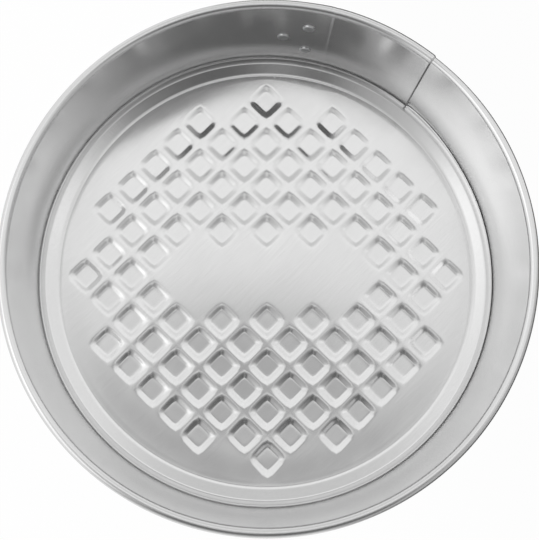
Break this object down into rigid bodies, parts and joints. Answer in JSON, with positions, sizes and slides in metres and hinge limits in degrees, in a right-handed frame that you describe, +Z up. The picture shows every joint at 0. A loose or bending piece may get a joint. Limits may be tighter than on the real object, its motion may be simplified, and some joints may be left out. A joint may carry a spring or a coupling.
{
  "type": "springform cake pan",
  "caption": "Round springform cake pan: lapped band with rolled rim, loose embossed base and an over-centre wire-bail latch.",
  "frame": {"origin": "on the pan's axis, in the plane that the band's foot stands on", "axes": "+Z up along the pan's axis, towards the open rim; +X and +Y along the rows of pressed squares in the base, with the latch between them, its lever pin 58 degrees from +Y towards +X"},
  "size_m": [0.2397, 0.2395, 0.068],
  "materials": {
    "tinplate": "bright rolled tinplate, satin",
    "embossed_tinplate": "pressed tinplate, satin",
    "plated_steel": "zinc-plated pressed steel",
    "steel_wire": "drawn, plated steel wire"
  },
  "bodies": {
    "band_body": {"band": "tinplate", "anchor_plate": "plated_steel", "anchor_rivet_upper": "plated_steel", "anchor_rivet_lower": "plated_steel", "anchor_rivet_left": "plated_steel", "keeper_plate": "plated_steel", "lever_pin": "plated_steel"},
    "base_body": {"base_plate": "embossed_tinplate"},
    "lever_body": {"lever": "plated_steel"},
    "bail_body": {"bail": "steel_wire"}
  },
  "joints": [
    {"name": "base_lift", "type": "slide", "parent": "band_body", "child": "base_body", "axis": [0, 0, 1], "range_m": [0, 0.09]},
    {"name": "lever_swing", "type": "hinge", "parent": "band_body", "child": "lever_body", "pos_m": [0.10346, 0.06465, 0.0343], "axis": [0, 0, -1], "range_deg": [0, 150]},
    {"name": "bail_swing", "type": "hinge", "parent": "lever_body", "child": "bail_body", "pos_m": [0.09797, 0.07101, 0.0343], "axis": [0, 0, 1], "range_deg": [0, 172.5]}
  ],
  "couplings": [
    {"joint": "bail_swing", "follows": "lever_swing", "ratio": 1.15}
  ]
}
